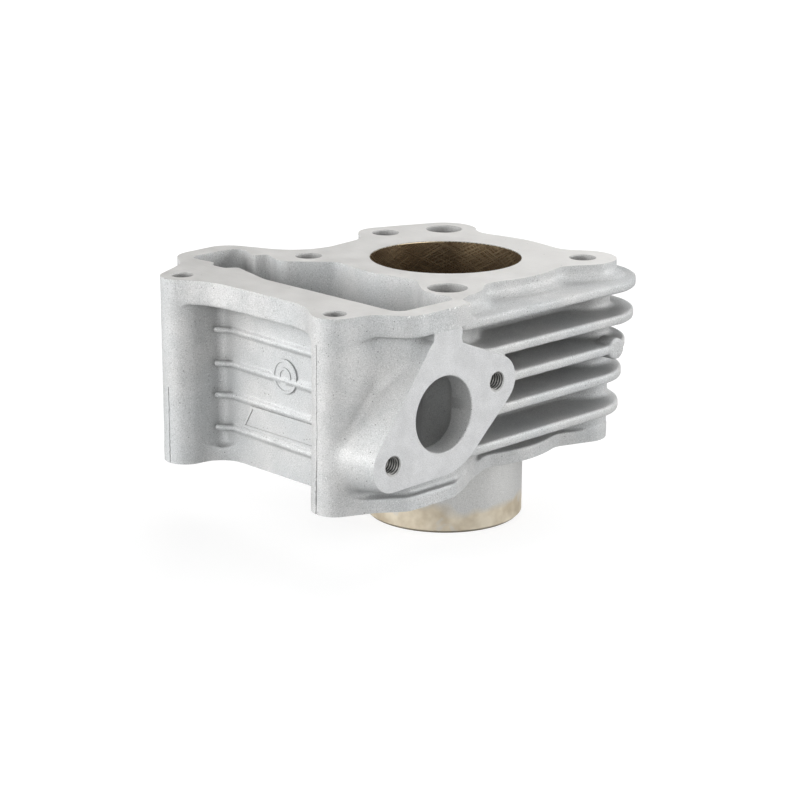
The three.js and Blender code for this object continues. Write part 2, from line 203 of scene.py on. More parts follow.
# ---------------------------------------------------------------- the distance field


def axis_values(axis):
    """The grid's places along one axis, shaped so that they spread over the other two."""
    count = int(math.ceil((GRID_HIGH[axis] - GRID_LOW[axis]) / CELL))
    shape = [1, 1, 1]
    shape[axis] = count
    return (GRID_LOW[axis] + CELL * np.arange(count)).astype(np.float32).reshape(shape)


X, Y, Z = (axis_values(axis) for axis in range(3))


def distance_to_outline(outline, across, up):
    """Signed distance to a closed outline in the plane of two grid axes, negative inside."""
    nearest = np.full(np.broadcast_shapes(across.shape, up.shape), 1e9, np.float32)
    inside = np.zeros(nearest.shape, bool)
    for (ax, ay), (bx, by) in zip(outline, outline[1:] + outline[:1]):
        ex, ey = bx - ax, by - ay
        length = ex * ex + ey * ey
        if length < 1e-12:
            continue
        wx, wy = across - ax, up - ay
        t = np.clip((wx * ex + wy * ey) / length, 0, 1)
        nearest = np.minimum(nearest, (wx - ex * t) ** 2 + (wy - ey * t) ** 2)
        if ay != by:
            inside ^= ((ay > up) != (by > up)) & (wx < ex * wy / ey)
    return np.where(inside, -np.sqrt(nearest), np.sqrt(nearest)).astype(np.float32)


def prism(plan, level, edge):
    """A plan distance and a distance along its axis made into one body with rounded edges."""
    a, b = plan + edge, level + edge
    return np.minimum(np.maximum(a, b), 0) + np.hypot(np.maximum(a, 0), np.maximum(b, 0)) - edge


def between(values, low, high):
    """Distance to the slab between two places along an axis, negative inside."""
    return np.abs(values - (low + high) / 2) - (high - low) / 2


def rising(values, start, end):
    """0 as far as start, 1 from end on, and an even slope between them."""
    return np.clip((values - start) / (end - start), 0, 1)


def fused(a, b, fillet, plan=None):
    """Two bodies joined with a cast fillet, which stays within b's plan if that is given."""
    u, v = np.maximum(fillet - a, 0), np.maximum(fillet - b, 0)
    both = np.maximum(fillet, np.minimum(a, b)) - np.hypot(u, v)
    return both if plan is None else np.maximum(both, np.minimum(a, plan))


def carved(a, b, edge):
    """Body a with b taken out of it, and the edge between them rounded."""
    u, v = np.maximum(edge + a, 0), np.maximum(edge - b, 0)
    return np.minimum(-edge, np.maximum(a, -b)) + np.hypot(u, v)


def capsule(start, end, radius):
    """A round-ended rod between two points."""
    d = [end[i] - start[i] for i in range(3)]
    w = (X - start[0], Y - start[1], Z - start[2])
    t = np.clip(sum(w[i] * d[i] for i in range(3)) / sum(v * v for v in d), 0, 1)
    return np.sqrt(sum((w[i] - d[i] * t) ** 2 for i in range(3))) - radius


body_plan = distance_to_outline(BODY_OUTLINE, X, Y)
deck_plan = distance_to_outline(DECK_OUTLINE, X, Y)
base_plan = distance_to_outline(BASE_OUTLINE, X, Y)


def cast_body():
    """The barrel, its columns and the walls of the chain tunnel, with the two gasket flanges."""
    front_column = rising(X, -66, -74) * rising(Y, -12, -20)
    foot_swell = 0.5 * front_column * rising(Z, 24, 2)
    walls = body_plan - foot_swell
    underside = DECK_LOW + rising(Y, -36, -42)
    deck = prism(deck_plan, between(Z, underside, DECK_Z + PAST), 0.5)
    base = prism(base_plan, between(Z, -PAST, BASE_TOP), 0.5)
    body = fused(walls, deck, 1.2, deck_plan)
    return fused(body, base, np.where(X < -69, 2.2, 0.8), base_plan)


def panel_ribs(body):
    """The ribs of the outer wall's panel, whose rear ends climb the side of the column."""
    axis = WALL_X + 0.3
    for z_rear, z_front in PANEL_RIBS:
        bend = (axis, 25, z_rear)
        rib = capsule(bend, (axis, -24, z_front), 1.2)
        end = capsule(bend, (WALL_X - 3.6, 29.3, z_rear + 0.3), 1.1)
        body = fused(body, np.minimum(rib, end), 0.6)
    return body


def tensioner_boss():
    """The slanted boss whose front is the tensioner's gasket face, with more draft on the chain side."""
    draft = (0.05 + 0.13 * rising(X, -52, -62)) * (Y - FLANGE_FACE)
    plan = distance_to_outline(FLANGE_OUTLINE, X, Z) - draft
    return prism(plan, between(Y, FLANGE_FACE - PAST, -36), 0.5)


def flange_tie():
    """The web that joins the tensioner's boss to the deck, with a round notch in its inner side."""
    notch = np.hypot(X - TIE[1] - 0.9, Z - 51.3) - 1.3
    web = np.maximum(between(X, *TIE), -notch)
    depth = between(Y, FLANGE_FACE - PAST, -44)
    return np.maximum(web, np.maximum(depth, between(Z, *TIE_HEIGHT)))


def with_fin(body, index):
    """The body with one fin, flat-edged and a little thicker at its root, and with fillets there."""
    plan = distance_to_outline(fin_outline(FIN_SIDES[index]), X, Y)
    half = FIN_HALF + 0.015 * np.minimum(-plan, 20)
    fin = prism(plan, np.abs(Z - FIN_LEVELS[index]) - half, 0.9)
    above = 3.2 if index == 0 else 1.6
    fillet = 0.8 + (above - 0.8) * np.clip((Z - FIN_LEVELS[index]) / CELL, 0, 1)
    return fused(body, fin, fillet, plan)


def gate_boss():
    """The short round stub on the edge of the third fin."""
    x, z = GATE
    return prism(np.hypot(X - x, Z - z) - GATE_RADIUS, between(Y, -51.4, -45.0), 0.3)


def casting_field():
    """The whole casting before its faces are machined, with some unevenness in its skin."""
    body = panel_ribs(cast_body())
    body = fused(body, tensioner_boss(), 1.5)
    body = np.minimum(body, flange_tie())
    for index in range(len(FIN_LEVELS)):
        body = with_fin(body, index)
    body = fused(body, gate_boss(), 0.4)
    body = carved(body, distance_to_outline(TUNNEL_OUTLINE, X, Y), 0.3)
    waves = np.sin(X * 0.61 + 1.3) * np.sin(Y * 0.53 + 0.4) * np.sin(Z * 0.57 + 2.1)
    ripple = np.sin(X * 1.9 + Y * 1.1) * np.sin(Y * 1.7 - Z * 1.3 + 0.7) * np.sin(Z * 1.5 + X * 0.9)
    return body + SKIN + WAVE * waves + RIPPLE * ripple


def field_mesh(field, name):
    """The field's zero surface as a mesh object, in millimetres."""
    reach = 3 * CELL
    grid = openvdb.FloatGrid(background=reach)
    grid.copyFromArray(np.pad(np.clip(field, -reach, reach), 1, constant_values=reach))
    points, triangles, quads = grid.convertToPolygons(isovalue=0.0, adaptivity=0.0)
    points = points * CELL + (GRID_LOW - CELL)
    halves = np.concatenate([quads[:, (0, 1, 2)], quads[:, (0, 2, 3)], triangles])
    obj = mesh_object(name, points, halves)
    thinner = obj.modifiers.new("thinner", "DECIMATE")
    thinner.ratio = min(1.0, TRIANGLES / len(halves))
    return applied(obj)


# ---------------------------------------------------------------- mesh helpers


def mesh_object(name, points, faces):
    """A new object from points and faces, placed in the scene."""
    mesh = bpy.data.meshes.new(name)
    mesh.from_pydata(points, [], faces)
    mesh.update()
    obj = bpy.data.objects.new(name, mesh)
    bpy.context.scene.collection.objects.link(obj)
    return obj


def turned(name, profile, sides=64, centre=(0, 0), along_y=False):
    """A solid of revolution from (radius, height) points, low end first, closed by flat ends."""
    points, faces = [], []
    for radius, height in profile:
        for k in range(sides):
            angle = 2 * math.pi * k / sides
            u, v = radius * math.cos(angle), radius * math.sin(angle)
            points.append((centre[0] + u, centre[1] + v, height))
    for row in range(len(profile) - 1):
        for k in range(sides):
            a, b = row * sides + k, row * sides + (k + 1) % sides
            faces.append((a, b, b + sides, a + sides))
    faces.append(tuple(reversed(range(sides))))
    faces.append(tuple(range((len(profile) - 1) * sides, len(profile) * sides)))
    if along_y:
        points = [(x, -height, z) for x, z, height in points]
    return mesh_object(name, points, faces)


def tube(name, profile, sides=128):
    """A ring of revolution from a closed loop of (radius, height) points, laid anticlockwise."""
    points, faces = [], []
    count = len(profile)
    for radius, height in profile:
        for k in range(sides):
            angle = 2 * math.pi * k / sides
            points.append((radius * math.cos(angle), radius * math.sin(angle), height))
    for row in range(count):
        below, above = row * sides, (row + 1) % count * sides
        for k in range(sides):
            nxt = (k + 1) % sides
            faces.append((below + k, below + nxt, above + nxt, above + k))
    return mesh_object(name, points, faces)


def box_object(low, high):
    """A plain box for cutting."""
    x, y, z = zip(low, high)
    points = [(x[i], y[j], z[k]) for i in (0, 1) for j in (0, 1) for k in (0, 1)]
    faces = [(0, 1, 3, 2), (4, 6, 7, 5), (0, 4, 5, 1), (2, 3, 7, 6), (0, 2, 6, 4), (1, 5, 7, 3)]
    return mesh_object("cutter", points, faces)


def applied(obj):
    """The object with its modifiers made part of its mesh."""
    depsgraph = bpy.context.evaluated_depsgraph_get()
    mesh = bpy.data.meshes.new_from_object(obj.evaluated_get(depsgraph))
    obj.modifiers.clear()
    obj.data = mesh
    return obj


def combined(obj, others, operation):
    """The object joined with or cut by others, which are used up."""
    for other in others:
        modifier = obj.modifiers.new("combine", "BOOLEAN")
        modifier.operation = operation
        modifier.solver = "MANIFOLD"
        modifier.object = other
    applied(obj)
    for other in others:
        bpy.data.objects.remove(other)
    return obj


def hole(x, y, radius, low):
    """A cutter for a hole down from the deck, with a small chamfer."""
    profile = [(radius, low), (radius, DECK_Z - CHAMFER), (radius + CHAMFER + PAST, DECK_Z + PAST)]
    return turned("cutter", profile, 48, (x, y))


def front_hole(x, z, radius, depth, chamfer, sides=64):
    """A cutter for a hole in from the tensioner face."""
    face = -FLANGE_FACE
    profile = [(radius, face - depth), (radius, face - chamfer), (radius + chamfer + PAST, face + PAST)]
    return turned("cutter", profile, sides, (x, z), along_y=True)


def thread_cutter(x, z):
    """A cutter that leaves a threaded hole in the tensioner face."""
    sides, per_pitch = 40, 8
    face = -FLANGE_FACE
    rows = int(BOLT_DEPTH / THREAD_PITCH * per_pitch) + 1
    points, faces = [], []
    for row in range(rows + 1):
        height = face - BOLT_DEPTH + row * THREAD_PITCH / per_pitch
        for k in range(sides):
            # The flank's place between crest and root, with flats on both.
            phase = (row / per_pitch - k / sides) % 1.0
            flank = min(1.0, max(0.0, 1.5 * (1 - abs(2 * phase - 1)) - 0.2))
            radius = THREAD_MINOR + (THREAD_MAJOR - THREAD_MINOR) * flank
            angle = 2 * math.pi * k / sides
            points.append((x + radius * math.cos(angle), -height, z + radius * math.sin(angle)))
    for row in range(rows):
        for k in range(sides):
            a, b = row * sides + k, row * sides + (k + 1) % sides
            faces.append((a, b, b + sides, a + sides))
    faces.append(tuple(reversed(range(sides))))
    faces.append(tuple(range(rows * sides, (rows + 1) * sides)))
    return mesh_object("cutter", points, faces)


# ---------------------------------------------------------------- machining


def spigot_tube():
    """The turned spigot, with its root inside the casting."""
    inner, outer, foot = PLATING_OUTER, SPIGOT_RADIUS, SPIGOT_FOOT
    return tube("spigot", [
        (inner, foot + 0.5), (inner + 0.5, foot), (outer - 0.9, foot), (outer, foot + 0.9),
        (outer, BASE_TOP / 2), (inner, BASE_TOP / 2),
    ])


def panel_plates():
    """The blank plate and the blank round pad on the outer wall, each with a raised border."""
    face, root = WALL_X - PLATE_RELIEF, WALL_X + 1.5
    front, rear, rear_top, low, high = -26, 20.4, 16.8, 12.6, 20.4
    points = []
    for x, inset in ((root, 0), (face, 0), (face, BORDER_WIDTH), (face + BORDER, BORDER_WIDTH)):
        points += [
            (x, front, low + inset), (x, rear - inset, low + inset),
            (x, rear_top - inset, high - inset), (x, front, high - inset),
        ]
    faces = [(3, 2, 1, 0), (12, 13, 14, 15)]
    for row in range(3):
        for k in range(4):
            a, b = row * 4 + k, row * 4 + (k + 1) % 4
            faces.append((a, b, b + 4, a + 4))
    plate = mesh_object("plate", points, faces)
    crest, floor = -face, -face - BORDER
    pad = turned("pad", [
        (5.6, -root), (5.6, crest - 0.15), (5.45, crest), (4.7, crest), (4.55, floor),
        (2.9, floor), (2.8, crest), (2.1, crest), (2.0, floor), (0.01, floor),
    ], 48)
    pad.data.transform(Matrix.Translation((0, 0.4, 33.4)) @ Matrix.Rotation(math.radians(-90), 4, "Y"))
    return [plate, pad]


def parting_groove(angle, centre, radius, low, high, seed):
    """A fine ragged groove down a column, where the mould's halves met."""
    rng = np.random.default_rng(seed)
    out = (math.cos(angle), math.sin(angle))
    side = (-out[1], out[0])
    levels = np.arange(low, high, 0.8)
    points, faces = [], []
    bottom, rim = radius - 0.55, radius + 1
    for z in levels:
        shift, half = rng.uniform(-0.12, 0.12), rng.uniform(0.2, 0.9)
        for reach, across in ((bottom, shift), (rim, shift - half), (rim, shift + half)):
            x, y = (centre[i] + out[i] * reach + side[i] * across for i in (0, 1))
            points.append((x, y, z))
    for row in range(len(levels) - 1):
        for k in range(3):
            a, b = row * 3 + k, row * 3 + (k + 1) % 3
            faces.append((a, b, b + 3, a + 3))
    faces += [(2, 1, 0), tuple(range(len(points) - 3, len(points)))]
    return mesh_object("groove", points, faces)


def machined_casting():
    """The casting with its faces milled, its spigot and plates added, and its holes cut."""
    casting = field_mesh(casting_field(), "cylinder_casting")
    far, deep = 95.0, 9.0
    slabs = [
        box_object((-far, -far, DECK_Z), (far, far, DECK_Z + deep)),
        box_object((-far, -far, -deep), (far, far, 0)),
        box_object((-far, FLANGE_FACE - deep, -far), (far, FLANGE_FACE, far)),
    ]
    combined(casting, slabs, "DIFFERENCE")
    combined(casting, [spigot_tube(), *panel_plates()], "UNION")
    combined(casting, [
        parting_groove(math.radians(175.5), CASE_BOLTS[0], 7.1, -1, 53, 3),
        parting_groove(math.radians(-177), CASE_BOLTS[1], 7.1, -1, 26, 4),
    ], "DIFFERENCE")
    holes = [turned("cutter", [(PLATING_OUTER, -40), (PLATING_OUTER, DECK_Z + PAST)], 192)]
    for x in (-STUD, STUD):
        for y in (-STUD, STUD):
            holes.append(hole(x, y, STUD_HOLE, -PAST))
            if x == y:
                holes.append(hole(x, y, DOWEL_HOLE, DECK_Z - DOWEL_DEPTH))
    holes.append(hole(*DRAIN, DRAIN_HOLE, -PAST))
    holes += [hole(x, y, CASE_HOLE, -PAST) for x, y in CASE_BOLTS]
    holes.append(front_hole(*PORT, PORT_RADIUS, PORT_DEPTH, PORT_CHAMFER, 96))
    for x, z in (LOW_BOLT, HIGH_BOLT):
        holes.append(front_hole(x, z, THREAD_MINOR, BOLT_DEPTH + 1.5, BOLT_CHAMFER))
        holes.append(thread_cutter(x, z))
    combined(casting, holes, "DIFFERENCE")
    return casting


def bore_plating():
    """The plated bore with its thin chamfered lip."""
    top, foot, outer = DECK_Z - 0.01, SPIGOT_FOOT + 0.3, PLATING_OUTER + 0.05
    return tube("bore_surface", [
        (BORE_RADIUS, foot + 0.4), (BORE_RADIUS + 0.25, foot), (outer, foot),
        (outer, top), (BORE_RADIUS + 0.35, top), (BORE_RADIUS, DECK_Z - 0.4),
    ], 192)


# ---------------------------------------------------------------- materials


class Nodes:
    """Short ways to lay out a material's nodes."""

    def __init__(self, name):
        self.material = bpy.data.materials.new(name)
        self.material.use_nodes = True
        self.tree = self.material.node_tree
        self.shader = self.tree.nodes["Principled BSDF"]
        self.place = self.add("ShaderNodeTexCoord").outputs["Object"]

    def add(self, kind, **settings):
        """A new node with those settings."""
        node = self.tree.nodes.new(kind)
        for key, value in settings.items():
            setattr(node, key, value)
        return node

    def link(self, source, target):
        """Joins an output to an input."""
        self.tree.links.new(source, target)

    def axes(self):
        """The place's X, Y and Z, in metres in the row frame."""
        node = self.add("ShaderNodeSeparateXYZ")
        self.link(self.place, node.inputs[0])
        return node.outputs

    def noise(self, size_mm, detail=2.0, roughness=0.5, stretch=(1, 1, 1)):
        """Noise with features of about that size."""
        mapping = self.add("ShaderNodeMapping")
        mapping.inputs["Scale"].default_value = stretch
        self.link(self.place, mapping.inputs["Vector"])
        node = self.add("ShaderNodeTexNoise")
        node.inputs["Scale"].default_value = 1 / (size_mm * MM)
        node.inputs["Detail"].default_value = detail
        node.inputs["Roughness"].default_value = roughness
        self.link(mapping.outputs["Vector"], node.inputs["Vector"])
        return node.outputs["Fac"]

    def spots(self, spacing_mm, size):
        """Sparse round spots: 1 in a spot and 0 elsewhere."""
        node = self.add("ShaderNodeTexVoronoi")
        node.inputs["Scale"].default_value = 1 / (spacing_mm * MM)
        self.link(self.place, node.inputs["Vector"])
        return self.ramp(node.outputs["Distance"], size, size * 0.5, 0, 1)

    def ramp(self, value, low, high, out_low, out_high):
        """The value carried from one range into another, and held at its ends."""
        node = self.add("ShaderNodeMapRange", clamp=True)
        ends = {"From Min": low, "From Max": high, "To Min": out_low, "To Max": out_high}
        for key, number in ends.items():
            node.inputs[key].default_value = number
        self.link(value, node.inputs["Value"])
        return node.outputs["Result"]

    def maths(self, operation, a, b=None):
        """The result of an operation on one or two values, each a number or an output."""
        node = self.add("ShaderNodeMath", operation=operation)
        for socket, value in zip(node.inputs, (a, b)):
            if value is None:
                continue
            if isinstance(value, (int, float)):
                socket.default_value = value
            else:
                self.link(value, socket)
        return node.outputs[0]

    def mix(self, factor, a, b):
        """Colour a at factor 0 and colour b at factor 1."""
        node = self.add("ShaderNodeMix", data_type="RGBA")
        for socket, value in ((node.inputs[0], factor), (node.inputs[6], a), (node.inputs[7], b)):
            if isinstance(value, (int, float)):
                socket.default_value = value
            elif isinstance(value, tuple):
                socket.default_value = (*value, 1)
            else:
                self.link(value, socket)
        return node.outputs[2]

    def bump(self, height, strength, distance_mm):
        """A normal tilted by a height."""
        node = self.add("ShaderNodeBump")
        node.inputs["Strength"].default_value = strength
        node.inputs["Distance"].default_value = distance_mm * MM
        self.link(height, node.inputs["Height"])
        return node.outputs["Normal"]

    def painted_hollow_shade(self, reach_mm, low, high, strength):
        """How much painted shade a place gets for lying deep in a hollow, from 0 in the open to the
        given strength.
        """
        node = self.add("ShaderNodeAmbientOcclusion", samples=8)
        node.inputs["Distance"].default_value = reach_mm * MM
        return self.ramp(node.outputs["AO"], low, high, strength, 0)

    def finish(self, colour, roughness, normal, metallic):
        """The material with its shader set. The roughness is a number or a node's output."""
        self.link(colour, self.shader.inputs["Base Color"])
        if isinstance(roughness, (int, float)):
            self.shader.inputs["Roughness"].default_value = roughness
        else:
            self.link(roughness, self.shader.inputs["Roughness"])
        self.shader.inputs["Metallic"].default_value = metallic
        if normal is not None:
            self.link(normal, self.shader.inputs["Normal"])
        return self.material


def blasted_casting():
    """Shot-blasted cast aluminium: fine grain, soft mottling, pits, painted shade in the hollows and a
    chipped edge.
    """
    n = Nodes("blasted_casting")
    grain = n.noise(0.32, 2.0, 0.65)
    mottle = n.noise(9.0, 3.0, 0.55)
    cloud = n.noise(26.0, 1.0)
    colour = n.mix(n.ramp(mottle, 0.35, 0.68, 0, 1), (0.45, 0.455, 0.455), (0.535, 0.535, 0.53))
    colour = n.mix(n.ramp(cloud, 0.42, 0.62, 0, 0.5), colour, (0.45, 0.47, 0.48))
    colour = n.mix(n.ramp(grain, 0.30, 0.48, 0.65, 0), colour, (0.22, 0.22, 0.215))
    colour = n.mix(n.ramp(grain, 0.58, 0.72, 0, 0.65), colour, (0.76, 0.76, 0.75))
    pits = n.maths("MULTIPLY", n.spots(1.7, 0.16), n.ramp(n.noise(5.0), 0.5, 0.6, 0, 1))
    colour = n.mix(n.maths("MULTIPLY", pits, 0.8), colour, (0.13, 0.13, 0.125))
    place = n.axes()
    deck, fins = ORIGIN.z + DECK_Z * MM, ORIGIN.y + FIN_FRONT * MM
    edge = n.ramp(place["Z"], deck - 1.1 * MM, deck - 0.5 * MM, 0, 1)
    front = n.ramp(place["Y"], fins + 5 * MM, fins + 3 * MM, 0, 1)
    ragged = n.maths("MULTIPLY", n.spots(0.8, 0.4), n.ramp(n.noise(2.2, 2.0), 0.48, 0.56, 0, 1))
    chips = n.maths("MULTIPLY", n.maths("MULTIPLY", edge, front), ragged)
    colour = n.mix(chips, colour, (0.9, 0.9, 0.89))
    # Painted shade: hollows, gaps and recesses go darker by ambient occlusion.
    colour = n.mix(n.painted_hollow_shade(45, 0.05, 0.75, 0.5), colour, (0.15, 0.15, 0.148))
    height = n.maths("SUBTRACT", grain, n.maths("MULTIPLY", pits, 1.5))
    normal = n.bump(height, 0.5, 0.10)
    return n.finish(colour, n.ramp(grain, 0.3, 0.7, 0.72, 0.5), normal, 0.25)


def machined_face():
    """A milled gasket face: smooth, warmer and with a few open pores."""
    n = Nodes("machined_face")
    grain = n.noise(0.25, 1.0)
    mottle = n.noise(7.0, 3.0)
    strokes = n.noise(0.5, 2.0, 0.5, (1.0, 0.06, 1.0))
    colour = n.mix(n.ramp(mottle, 0.3, 0.7, 0, 1), (0.575, 0.566, 0.55), (0.635, 0.626, 0.61))
    colour = n.mix(n.ramp(strokes, 0.35, 0.65, 0, 0.18), colour, (0.74, 0.735, 0.72))
    colour = n.mix(n.ramp(grain, 0.3, 0.45, 0.25, 0), colour, (0.42, 0.41, 0.40))
    pores = n.maths("MULTIPLY", n.spots(2.6, 0.10), n.ramp(n.noise(8.0), 0.55, 0.62, 0, 1))
    colour = n.mix(n.maths("MULTIPLY", pores, 0.85), colour, (0.10, 0.095, 0.09))
    normal = n.bump(n.maths("ADD", strokes, n.maths("MULTIPLY", grain, 0.6)), 0.25, 0.03)
    return n.finish(colour, n.ramp(mottle, 0.3, 0.7, 0.42, 0.52), normal, 0.45)


def milled_flange():
    """The tensioner's gasket face: milled, then blasted again to a fine cool grey."""
    n = Nodes("milled_flange")
    grain = n.noise(0.3, 2.0, 0.6)
    mottle = n.noise(5.0, 3.0, 0.55)
    colour = n.mix(n.ramp(mottle, 0.35, 0.65, 0, 1), (0.50, 0.505, 0.51), (0.565, 0.57, 0.575))
    colour = n.mix(n.ramp(grain, 0.32, 0.48, 0.45, 0), colour, (0.30, 0.30, 0.30))
    colour = n.mix(n.ramp(grain, 0.56, 0.70, 0, 0.5), colour, (0.74, 0.745, 0.75))
    normal = n.bump(grain, 0.4, 0.05)
    return n.finish(colour, n.ramp(grain, 0.3, 0.7, 0.62, 0.5), normal, 0.3)


def turned_spigot():
    """The spigot's outside: grey above, stained beige by the plating bath towards its end, and darker
    along its very foot.
    """
    n = Nodes("turned_spigot")
    height = n.axes()["Z"]
    foot = ORIGIN.z + SPIGOT_FOOT * MM
    edge = n.maths("ADD", height, n.ramp(n.noise(16.0, 2.0), 0.3, 0.7, -3 * MM, 3 * MM))
    grain = n.noise(0.3, 2.0, 0.6)
    grey = n.mix(n.ramp(grain, 0.35, 0.65, 0, 1), (0.51, 0.51, 0.50), (0.66, 0.66, 0.65))
    gold = n.mix(n.ramp(n.noise(6.0, 3.0), 0.35, 0.65, 0, 1), (0.54, 0.46, 0.34), (0.74, 0.67, 0.54))
    stain = n.ramp(edge, foot + 9.5 * MM, foot + 6.5 * MM, 0, 1)
    colour = n.mix(stain, grey, gold)
    patch = n.ramp(n.noise(7.0, 2.0), 0.62, 0.66, 0, 0.5)
    colour = n.mix(n.maths("MULTIPLY", patch, stain), colour, (0.62, 0.61, 0.58))
    # Darker along the lowest millimetre, down to the foot.
    dark = n.ramp(height, foot + 1.1 * MM, foot + 0.4 * MM, 0, 0.6)
    colour = n.mix(dark, colour, (0.10, 0.085, 0.06))
    rings = n.noise(0.35, 1.0, 0.5, (0.02, 0.02, 1.0))
    normal = n.bump(n.maths("ADD", grain, rings), 0.3, 0.04)
    return n.finish(colour, 0.42, normal, 0.5)


def honed_plating():
    """Bronze-coloured bore plating with the crossed scratches of honing."""
    n = Nodes("honed_plating")
    place = n.axes()
    x = n.maths("SUBTRACT", place["X"], ORIGIN.x)
    y = n.maths("SUBTRACT", place["Y"], ORIGIN.y)
    round_way = n.maths("MULTIPLY", n.maths("ARCTAN2", y, x), BORE_RADIUS * MM)
    scratches = []
    for slant in (0.55, -0.55):
        across = n.maths("ADD", place["Z"], n.maths("MULTIPLY", round_way, slant))
        along = n.maths("SUBTRACT", round_way, n.maths("MULTIPLY", place["Z"], slant))
        unrolled = n.add("ShaderNodeCombineXYZ")
        n.link(across, unrolled.inputs["X"])
        n.link(n.maths("MULTIPLY", along, 0.03), unrolled.inputs["Y"])
        node = n.add("ShaderNodeTexNoise")
        node.inputs["Scale"].default_value = 1 / (0.45 * MM)
        node.inputs["Detail"].default_value = 2.0
        n.link(unrolled.outputs[0], node.inputs["Vector"])
        scratches.append(node.outputs["Fac"])
    lines = n.maths("MAXIMUM", *scratches)
    colour = n.mix(n.ramp(lines, 0.5, 0.68, 0, 1), (0.17, 0.118, 0.07), (0.62, 0.48, 0.30))
    deck = ORIGIN.z + DECK_Z * MM
    rim = n.ramp(place["Z"], deck - 0.45 * MM, deck - 0.35 * MM, 0, 1)
    colour = n.mix(rim, colour, (0.62, 0.52, 0.36))
    normal = n.bump(lines, 0.45, 0.05)
    return n.finish(colour, n.ramp(lines, 0.45, 0.7, 0.30, 0.2), normal, 0.9)


def drilled_metal():
    """The grey wall of a drilled hole, darker deeper in the hole with painted shade."""
    n = Nodes("drilled_metal")
    grain = n.noise(0.4, 2.0)
    colour = n.mix(n.ramp(grain, 0.35, 0.65, 0, 1), (0.38, 0.378, 0.37), (0.50, 0.497, 0.49))
    # Painted shade: the wall darkens where ambient occlusion finds it deep in a hole.
    colour = n.mix(n.painted_hollow_shade(30, 0.1, 0.6, 0.6), colour, (0.13, 0.13, 0.128))
    return n.finish(colour, 0.5, n.bump(grain, 0.3, 0.04), 0.4)


def tapped_thread():
    """Thread flanks with painted light and shade: light along the crests and dark in the roots."""
    n = Nodes("tapped_thread")
    place = n.axes()
    radii = []
    for x, z in (LOW_BOLT, HIGH_BOLT):
        across = n.maths("SUBTRACT", place["X"], ORIGIN.x + x * MM)
        up = n.maths("SUBTRACT", place["Z"], ORIGIN.z + z * MM)
        squares = [n.maths("MULTIPLY", side, side) for side in (across, up)]
        radii.append(n.maths("SQRT", n.maths("ADD", *squares)))
    radius = n.maths("MINIMUM", *radii)
    # Painted shade in the roots and lighter crests: the colour follows the distance from each hole's
    # axis.
    root = n.ramp(radius, (THREAD_MINOR + 0.05) * MM, (THREAD_MAJOR - 0.1) * MM, 0, 1)
    colour = n.mix(root, (0.42, 0.415, 0.40), (0.03, 0.03, 0.029))
    return n.finish(colour, 0.38, None, 0.6)


# ---------------------------------------------------------------- finishing the pieces


FINISHES = (blasted_casting, machined_face, drilled_metal, turned_spigot, milled_flange, tapped_thread)
HOLES = [(x, y, DOWEL_HOLE if x == y else STUD_HOLE) for x in (-STUD, STUD) for y in (-STUD, STUD)]
HOLES += [(*DRAIN, DRAIN_HOLE), *((x, y, CASE_HOLE) for x, y in CASE_BOLTS), (0, 0, PLATING_OUTER)]
ON_FACE = 0.02
FACING = 0.9
CHAMFER_DEPTH = 0.45


def face_finish(centre, normal):
    """Which of the casting's finishes a face has."""
    x, y, z = centre
    if abs(z - DECK_Z) < ON_FACE and normal.z > FACING:
        return machined_face
    if abs(z) < ON_FACE and normal.z < -FACING:
        return machined_face
    if abs(y - FLANGE_FACE) < ON_FACE and normal.y < -FACING:
        return milled_flange
    if z < 0 and math.hypot(x, y) > BORE_RADIUS:
        return turned_spigot
    for hx, hy, radius in HOLES:
        if math.hypot(x - hx, y - hy) < radius + 0.6 and abs(normal.z) < FACING:
            return drilled_metal
    for hx, hz in (LOW_BOLT, HIGH_BOLT):
        if math.hypot(x - hx, z - hz) < THREAD_MAJOR + 1.2 and y < FLANGE_FACE + BOLT_DEPTH + 2:
            return drilled_metal if y < FLANGE_FACE + CHAMFER_DEPTH else tapped_thread
    return blasted_casting


def finish_casting(casting):
    """Gives each face its finish, and keeps the edges crisp where two finishes meet."""
    casting.data.materials.clear()
    for maker in FINISHES:
        casting.data.materials.append(maker())
    bm = bmesh.new()
    bm.from_mesh(casting.data)
    for face in bm.faces:
        face.material_index = FINISHES.index(face_finish(face.calc_center_median(), face.normal))
        face.smooth = True
    crease, finish_crease = math.radians(42), math.radians(20)
    for edge in bm.edges:
        if len(edge.link_faces) != 2:
            continue
        kinds = {f.material_index for f in edge.link_faces}
        angle = edge.calc_face_angle(0)
        edge.smooth = angle <= (finish_crease if len(kinds) > 1 else crease)
    bm.to_mesh(casting.data)
    bm.free()


def into_row(obj):
    """Moves a piece from millimetres about the bore axis into the row frame."""
    obj.data.transform(Matrix.Translation(ORIGIN) @ Matrix.Scale(MM, 4))
    obj.data.update()


casting = machined_casting()
finish_casting(casting)
into_row(casting)
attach(casting, "root")
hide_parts(*[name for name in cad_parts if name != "bore_plating"])

plating = bore_plating()
plating.data.materials.append(honed_plating())
for polygon in plating.data.polygons:
    polygon.use_smooth = True
plating.data.set_sharp_from_angle(angle=math.radians(30))
into_row(plating)
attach(plating, "root")
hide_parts("bore_plating")

# ---------------------------------------------------------------- floor, light and camera

SOFTBOX_SPREAD = 40
# Where the camera looks, in degrees: from +X, down, and its roll.
CAMERA_ANGLES = (45.344, 16.14, 0.278)
CAMERA_DISTANCE = 736.6
CAMERA_LEFT = 14.80
CAMERA_RISE = 11.21
CAMERA_LENS = 98.0


def studio_floor():
    """The wide table top that the barrel stands on."""
    size = 12.0
    corners = [(-size, -size, 0), (size, -size, 0), (size, size, 0), (-size, size, 0)]
    mesh = bpy.data.meshes.new("floor")
    mesh.from_pydata(corners, [], [(0, 1, 2, 3)])
    floor = bpy.data.objects.new("floor", mesh)
    bpy.context.scene.collection.objects.link(floor)
    mesh.materials.append(light_table())


